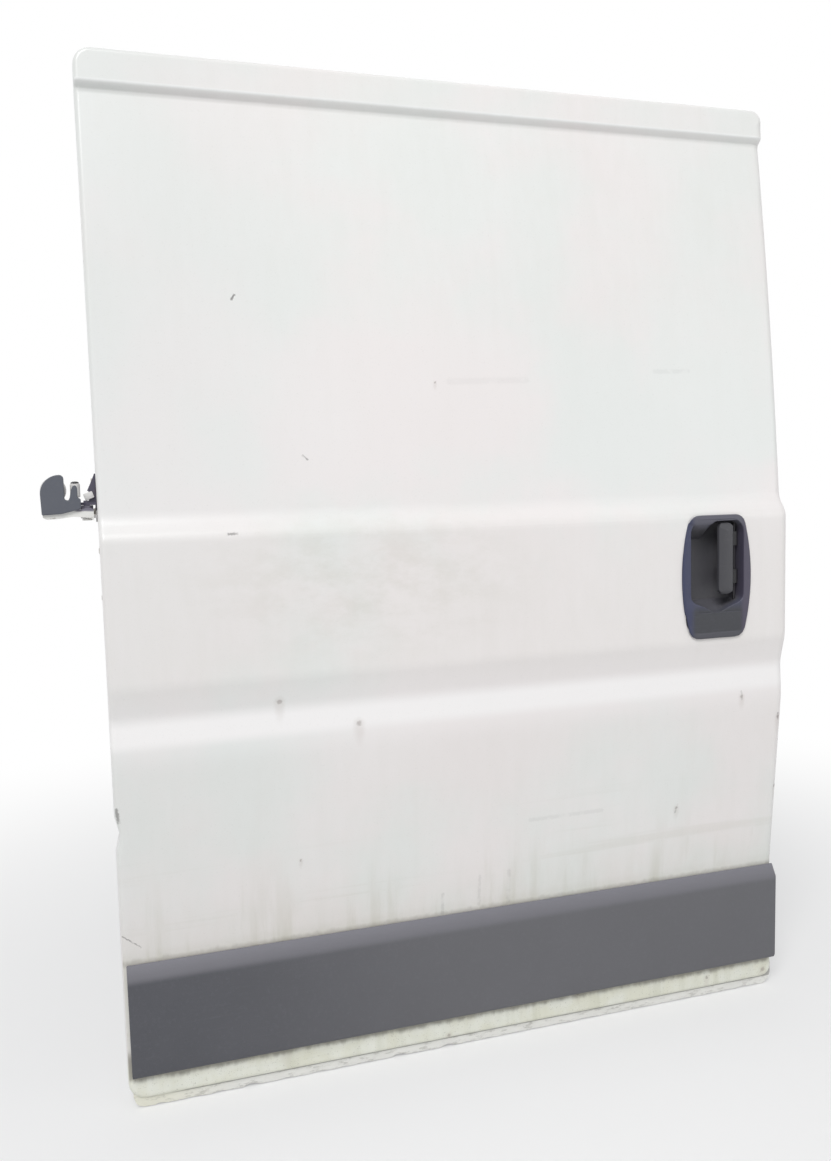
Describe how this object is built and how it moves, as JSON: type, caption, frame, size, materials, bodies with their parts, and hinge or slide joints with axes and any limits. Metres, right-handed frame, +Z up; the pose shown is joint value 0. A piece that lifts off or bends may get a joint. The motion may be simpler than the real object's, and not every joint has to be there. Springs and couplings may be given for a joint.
{
  "type": "van sliding door",
  "caption": "Sliding side door of a panel van: pressed steel shell with belt line, lower moulding, pull handle and rear roller arm.",
  "frame": {"origin": "on the seal land's bottom run, at the middle of the door's width, 60 mm above the lowest edge", "axes": "+X to the front edge with the handle, +Y into the vehicle, +Z up"},
  "size_m": [1.2532, 0.257, 1.585],
  "materials": {
    "white_paint": "gloss paint with dirt and small scratches",
    "inner_paint": "thin satin paint",
    "beam_paint": "black dip coat",
    "arm_paint": "body paint over pressed steel",
    "dark_steel": "dark coated pressed steel",
    "zinc_steel": "zinc plated",
    "latch_steel": "hardened steel, worn bright",
    "grey_plastic": "grained dark blue grey",
    "black_plastic": "grained black",
    "grip_plastic": "fine grained dark grey",
    "roller_nylon": "natural nylon",
    "black_rubber": "moulded rubber",
    "trim_board": "grey moulded trim"
  },
  "bodies": {
    "door": {"outer_skin": "white_paint", "inner_panel": "inner_paint", "upper_braces": "inner_paint", "side_impact_beam": "beam_paint", "side_moulding": "grey_plastic", "bottom_seal": "black_rubber", "handle_bezel": "black_plastic", "handle_pin": "zinc_steel", "rear_bracket": "dark_steel", "rear_pivot_pin": "zinc_steel", "upper_arm": "dark_steel", "upper_roller": "roller_nylon", "lower_arm": "dark_steel", "lower_load_roller": "roller_nylon", "lower_guide_roller": "roller_nylon", "front_latch": "zinc_steel", "front_latch_claw": "latch_steel", "rear_latch": "zinc_steel", "rear_latch_claw": "latch_steel", "release_unit": "zinc_steel", "latch_rod": "zinc_steel", "inner_handle": "black_plastic", "inner_handle_lever": "grip_plastic", "lower_trim": "trim_board", "guide_wedges": "black_plastic", "rubber_buffers": "black_rubber", "contact_block": "black_plastic"},
    "grip": {"handle_grip": "grip_plastic"},
    "roller_arm": {"rear_arm": "arm_paint", "rear_arm_cover": "grey_plastic"},
    "load_roller": {"rear_load_roller": "roller_nylon"},
    "guide_roller": {"rear_guide_roller": "roller_nylon"},
    "inner_roller": {"rear_inner_roller": "roller_nylon"}
  },
  "joints": [
    {"name": "handle_pull", "type": "hinge", "parent": "door", "child": "grip", "pos_m": [0.4755, -0.073, 0.7445], "axis": [0, 0, 1], "range_deg": [0, 25], "stiffness_Nm_per_rad": 1.2, "springref_deg": -5.73},
    {"name": "rear_arm_swing", "type": "hinge", "parent": "door", "child": "roller_arm", "pos_m": [-0.5965, -0.02916, 0.861], "axis": [0, 0, -1], "range_deg": [0, 65]},
    {"name": "load_roller_spin", "type": "hinge", "parent": "roller_arm", "child": "load_roller", "pos_m": [-0.6415, -0.03616, 0.891], "axis": [0, 1, 0], "continuous": true},
    {"name": "guide_roller_spin", "type": "hinge", "parent": "roller_arm", "child": "guide_roller", "pos_m": [-0.6115, -0.02916, 0.89], "axis": [0, 0, 1], "continuous": true},
    {"name": "inner_roller_spin", "type": "hinge", "parent": "roller_arm", "child": "inner_roller", "pos_m": [-0.6425, -0.00716, 0.89], "axis": [0, 0, 1], "continuous": true}
  ]
}
